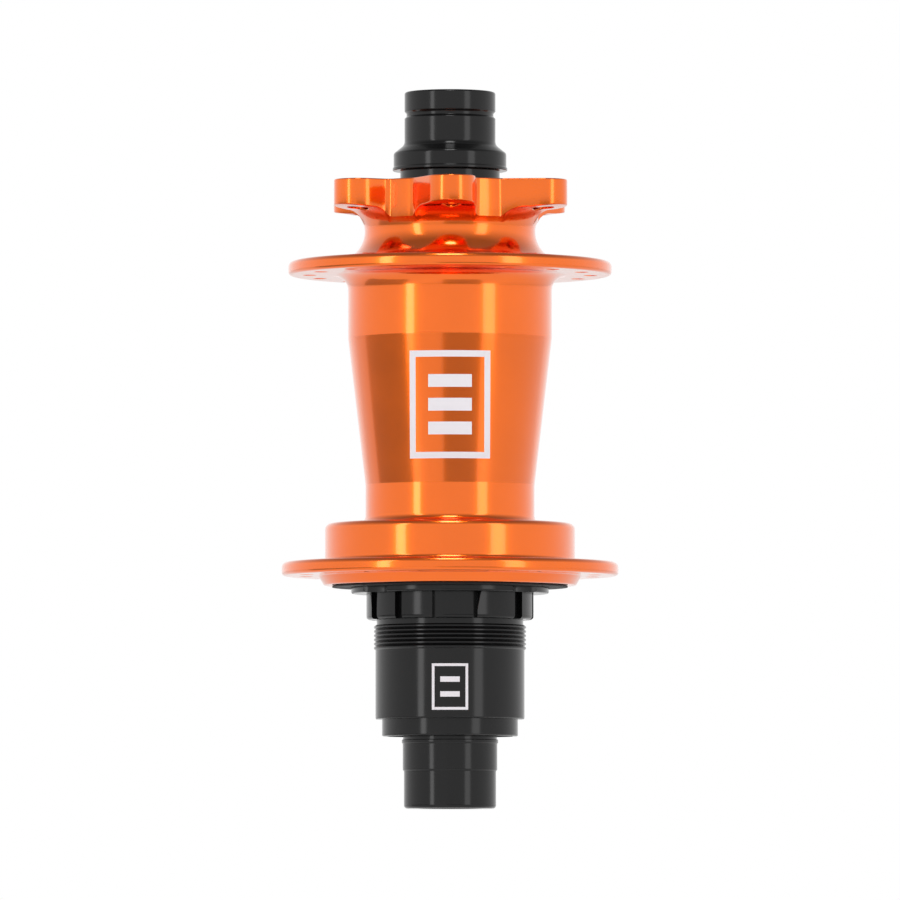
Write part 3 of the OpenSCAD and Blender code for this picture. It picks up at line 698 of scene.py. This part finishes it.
def black_finish(finishes):
    """Turned alloy under black anodising."""
    return finish(
        "black_anodised", finishes.black, 0.0, finishes.black_roughness, lines=0.12, grain=0.05,
        variation=0.1, Specular_IOR_Level=finishes.black_gloss)


def dress(nodes, material):
    """Gives frame nodes a finish in place of their packed one."""
    for name in nodes:
        mesh = frame["nodes"][name].data
        mesh.materials.clear()
        mesh.materials.append(material)


# ---------------------------------------------------------------- operators

class HUB_OT_shell(Operator):
    """Draw the orange shell with its rotor tabs, spoke flanges and tapered body"""

    bl_idname = "hub.shell"
    bl_label = "Shell"

    def execute(self, context):
        scene = context.scene
        make_piece(
            "polished_shell", shell_grids(scene.hub_shell_sizes), orange_finish(scene.hub_finishes),
            "shell", ["hub_shell"])
        return {"FINISHED"}


class HUB_OT_end_caps(Operator):
    """Draw the two black end caps"""

    bl_idname = "hub.end_caps"
    bl_label = "End Caps"

    def execute(self, context):
        scene = context.scene
        black = black_finish(scene.hub_finishes)
        for name, outline in (
                ("brake_end_cap", brake_cap_outline(scene.hub_cap_sizes)),
                ("drive_end_cap", drive_cap_outline(scene.hub_cap_sizes))):
            make_piece("turned_" + name, [closed_ring(outline)], black, "axle", [name])
        return {"FINISHED"}


class HUB_OT_marks(Operator):
    """Print the plain plates on the body and the driver"""

    bl_idname = "hub.marks"
    bl_label = "Printed Marks"

    def execute(self, context):
        scene = context.scene
        sizes = scene.hub_shell_sizes
        ink = finish(
            "white_ink", scene.hub_finishes.ink, 0.0, 0.5, grain=0.25, variation=0.02, scale=2500.0)
        slope = (sizes.body_radius - sizes.waist_radius) / (sizes.taper_top + sizes.taper_depth)

        def taper(height):
            return sizes.waist_radius + slope * (height + sizes.taper_depth)

        journal = MOUNTS["cog_journal"]["dims"]["r_mm"] * MM

        def straight(height):
            return np.full(np.shape(height), journal)

        make_piece(
            "body_plate", nameplate(
                taper, 8.5 * MM, 17 * MM, 22 * MM, 1.3 * MM, [(0.72, 9 * MM), (0.5, 9 * MM), (0.28, 9 * MM)]),
            ink, "shell")
        make_piece(
            "driver_plate", nameplate(
                straight, -49.2 * MM, 7.5 * MM, 9.5 * MM, 0.55 * MM, [(0.66, 4 * MM), (0.34, 4 * MM)]),
            ink, "freehub")
        return {"FINISHED"}


class HUB_OT_driver(Operator):
    """Finish the driver with black anodising and its seal with rubber"""

    bl_idname = "hub.driver"
    bl_label = "Driver"

    def execute(self, context):
        finishes = context.scene.hub_finishes
        dress(["freehub_body"], black_finish(finishes))
        rubber = finish(
            "seal_rubber", (0.012, 0.012, 0.012), 0.0, 0.6, grain=0.4, variation=0.15, Specular_IOR_Level=0.3)
        dress(["freehub_seal", "brake_cap_o_ring", "drive_cap_o_ring"], rubber)
        return {"FINISHED"}


class HUB_OT_inner_parts(Operator):
    """Finish the axle, spacers, ratchet and bearings in bare alloy, steel, brass and seal rubber"""

    bl_idname = "hub.inner_parts"
    bl_label = "Inner Parts"

    def execute(self, context):
        bearings = ("brake", "shell", "inboard", "outboard")
        dress(
            ["hub_axle", "ratchet_spacer", "driver_spacer"],
            finish("bare_alloy", (0.78, 0.79, 0.80), 1.0, 0.3, lines=0.3, grain=0.1, variation=0.04))
        dress(
            ["drive_ring"] + ["pawl_%d" % number for number in range(1, 7)],
            finish("tool_steel", (0.42, 0.42, 0.43), 1.0, 0.32, lines=0.1, grain=0.25, variation=0.08))
        dress(
            ["pawl_springs"],
            finish("spring_steel", (0.5, 0.5, 0.53), 1.0, 0.25, grain=0.1, variation=0.05))
        dress(
            [bearing + "_bearing_" + race for bearing in bearings for race in ("inner_race", "outer_race")],
            finish("race_steel", (0.66, 0.66, 0.67), 1.0, 0.2, lines=0.15, grain=0.04, variation=0.03))
        dress(
            [bearing + "_bearing_balls" for bearing in bearings],
            finish("ball_steel", (0.75, 0.75, 0.76), 1.0, 0.06, grain=0.01, variation=0.02))
        dress(
            [bearing + "_bearing_cage" for bearing in bearings],
            finish("cage_brass", (0.72, 0.52, 0.22), 1.0, 0.3, grain=0.2, variation=0.06))
        dress(
            [bearing + "_bearing_seals" for bearing in bearings],
            finish(
                "bearing_seal", (0.012, 0.013, 0.015), 0.0, 0.45, grain=0.3, variation=0.1,
                Specular_IOR_Level=0.35))
        return {"FINISHED"}


def add_lamp(name, centre, target, width, height, watts):
    """A rectangular lamp at one point that faces another."""
    lamp = bpy.data.lights.new(name, "AREA")
    lamp.shape = "RECTANGLE"
    lamp.size, lamp.size_y, lamp.energy = width, height, watts
    stand = bpy.data.objects.new(name, lamp)
    stand.location = centre
    stand.rotation_euler = (Vector(target) - Vector(centre)).to_track_quat("-Z", "Y").to_euler()
    bpy.context.scene.collection.objects.link(stand)


def lay(name, grid, material):
    """A flat sheet of the stage, whose corners are a grid of points."""
    rows, columns = grid.shape[:2]
    index = np.arange(rows * columns).reshape(rows, columns)
    cells = [index[:-1, :-1], index[:-1, 1:], index[1:, 1:], index[1:, :-1]]
    mesh = bpy.data.meshes.new(name)
    mesh.from_pydata(grid.reshape(-1, 3).tolist(), [], np.stack(cells, axis=-1).reshape(-1, 4).tolist())
    mesh.materials.append(material)
    sheet = bpy.data.objects.new(name, mesh)
    bpy.context.scene.collection.objects.link(sheet)
    return sheet


class HUB_OT_stage(Operator):
    """Set the camera, the lamps, the grey cards, the pale room and the floor"""

    bl_idname = "hub.stage"
    bl_label = "Stage"

    def execute(self, context):
        scene = context.scene
        studio = scene.hub_studio
        sight = Vector((0, -studio.camera_distance, -studio.camera_drop))
        lens = bpy.data.cameras.new("camera")
        lens.lens = lens.sensor_width * sight.length / studio.field_width
        lens.clip_start, lens.clip_end = 0.05, 50.0
        camera = bpy.data.objects.new("camera", lens)
        camera.location = sight
        camera.rotation_euler = (-sight).to_track_quat("-Z", "Y").to_euler()
        scene.collection.objects.link(camera)
        scene.camera = camera

        middle = studio.lamp_height / 2 - studio.lamp_drop
        for name, side, turn, width, watts in (
                ("left_strip", -1, studio.left_lamp_angle, studio.left_lamp_width, studio.left_lamp_power),
                ("right_strip", 1, studio.right_lamp_angle, studio.right_lamp_width,
                 studio.right_lamp_power)):
            stand = studio.lamp_distance * np.array([side * math.sin(turn), -math.cos(turn)])
            add_lamp(name, (*stand, middle), (0, 0, middle), width, studio.lamp_height, watts)
        add_lamp("top_box", TOP_BOX_PLACE, (0, 0, 0), TOP_BOX_WIDTH, TOP_BOX_LENGTH, studio.top_box_power)

        grey = finish("grey_card", (0.68, 0.68, 0.68), 0.0, 0.9, variation=0.01)
        for name, first, last in CARDS:
            turns = np.radians(np.linspace(first, last, 25))
            turns, reaches = np.meshgrid(turns, np.linspace(CARD_NEAR, CARD_FAR, 9))
            card = np.stack([
                reaches * np.sin(turns), -reaches * np.cos(turns),
                np.full(turns.shape, CARD_LIFT - studio.floor_drop)], axis=-1)
            sheet = lay(name, card, grey)
            sheet.visible_camera = sheet.visible_diffuse = sheet.visible_shadow = False

        world = bpy.data.worlds.new("white_room")
        world.use_nodes = True
        world.node_tree.nodes.clear()
        add = node_maker(world)
        direction = add("ShaderNodeTexCoord").outputs["Generated"]
        height = add("ShaderNodeSeparateXYZ", Vector=direction).outputs["Z"]
        level = add(
            "ShaderNodeMapRange", _0=height, _1=ROOM_FADE_START, _2=ROOM_FADE_END, _3=1.0,
            _4=ROOM_DIM).outputs[0]
        sky = add("ShaderNodeBackground", Color=(1, 1, 1, 1), Strength=level).outputs[0]
        add("ShaderNodeOutputWorld", Surface=sky)
        scene.world = world
        scene.view_settings.view_transform = "Standard"

        steps = np.linspace(-FLOOR_REACH, FLOOR_REACH, 9)
        across, along = np.meshgrid(steps, steps)
        ground = np.stack([across, along, np.full(across.shape, -studio.floor_drop)], axis=-1)
        lay("floor", ground, finish(
            "pale_floor", (0.82, 0.82, 0.82), 0.0, 0.7, variation=0.01,
            Emission_Color=(1, 1, 1, 1), Emission_Strength=studio.floor_glow))
        return {"FINISHED"}


class HUB_PT_panel(Panel):
    """The hub's pieces, in the order they are made"""

    bl_label = "Bicycle Rear Hub"
    bl_idname = "HUB_PT_panel"
    bl_space_type = "VIEW_3D"
    bl_region_type = "UI"
    bl_category = "Hub"

    def draw(self, context):
        for operator in OPERATORS:
            self.layout.operator(operator.bl_idname)
        for group in (
                context.scene.hub_shell_sizes, context.scene.hub_cap_sizes,
                context.scene.hub_finishes, context.scene.hub_studio):
            box = self.layout.box()
            for name in group.__annotations__:
                box.prop(group, name)


SETTINGS = {
    "hub_shell_sizes": ShellSizes, "hub_cap_sizes": CapSizes,
    "hub_finishes": Finishes, "hub_studio": StudioSettings}
OPERATORS = (
    HUB_OT_shell, HUB_OT_end_caps, HUB_OT_marks, HUB_OT_driver, HUB_OT_inner_parts, HUB_OT_stage)
CLASSES = (*SETTINGS.values(), *OPERATORS, HUB_PT_panel)


def register():
    """Register the classes and hang the settings on the scene."""
    for each in CLASSES:
        bpy.utils.register_class(each)
    for name, group in SETTINGS.items():
        setattr(bpy.types.Scene, name, PointerProperty(type=group))


def unregister():
    """Undo register."""
    for name in SETTINGS:
        delattr(bpy.types.Scene, name)
    for each in reversed(CLASSES):
        bpy.utils.unregister_class(each)


def main():
    """Make every piece and the stage."""
    register()
    bpy.ops.hub.shell()
    bpy.ops.hub.end_caps()
    bpy.ops.hub.marks()
    bpy.ops.hub.driver()
    bpy.ops.hub.inner_parts()
    bpy.ops.hub.stage()


if __name__ == "__main__":
    main()
